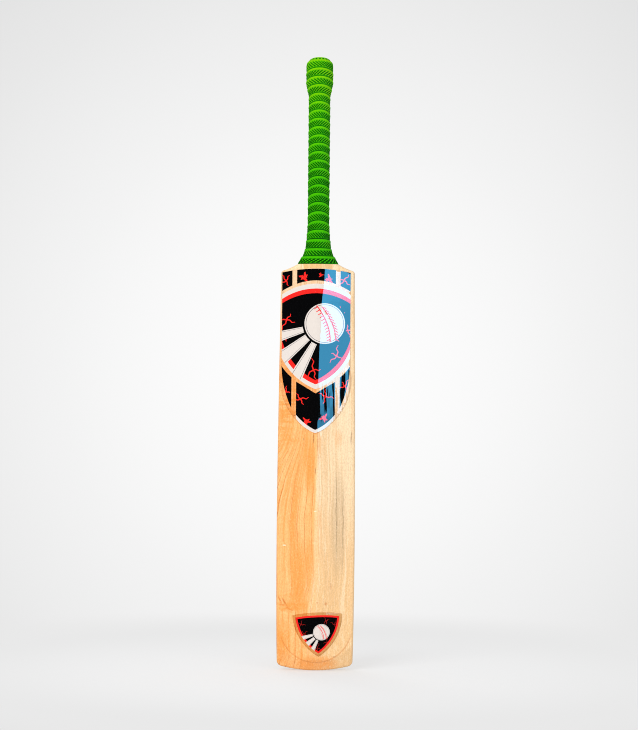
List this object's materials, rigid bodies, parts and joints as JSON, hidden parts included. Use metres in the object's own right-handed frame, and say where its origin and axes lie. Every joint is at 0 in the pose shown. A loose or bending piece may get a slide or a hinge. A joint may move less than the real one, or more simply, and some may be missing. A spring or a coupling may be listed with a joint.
{
  "type": "cricket bat",
  "caption": "Full-size short-handle cricket bat with a ridged willow blade, spliced cane handle, ribbed green rubber grip and glossy back stickers.",
  "frame": {"origin": "the toe's lowest point, under the middle of the bat's bounding box", "axes": "+Z from the toe to the top of the handle, +X across the blade, +Y out of the flat hitting face, so the spine is on the -Y side"},
  "size_m": [0.1078, 0.062, 0.85],
  "materials": {
    "willow": "satin",
    "cane": "satin",
    "spring_rubber": "matte",
    "twine": "waxed",
    "grip_rubber": "satin",
    "sticker_vinyl": "gloss"
  },
  "bodies": {
    "root": {"blade": "willow", "binding_twine": "twine", "grip": "grip_rubber", "back_sticker": "sticker_vinyl", "toe_sticker": "sticker_vinyl", "cane_back_left": "cane", "cane_back_centre": "cane", "cane_back_right": "cane", "cane_inner_back_left": "cane", "cane_inner_back_centre": "cane", "cane_inner_back_right": "cane", "cane_inner_face_left": "cane", "cane_inner_face_centre": "cane", "cane_inner_face_right": "cane", "cane_face_left": "cane", "cane_face_centre": "cane", "cane_face_right": "cane", "back_rubber_spring": "spring_rubber", "middle_rubber_spring": "spring_rubber", "face_rubber_spring": "spring_rubber"}
  },
  "joints": []
}
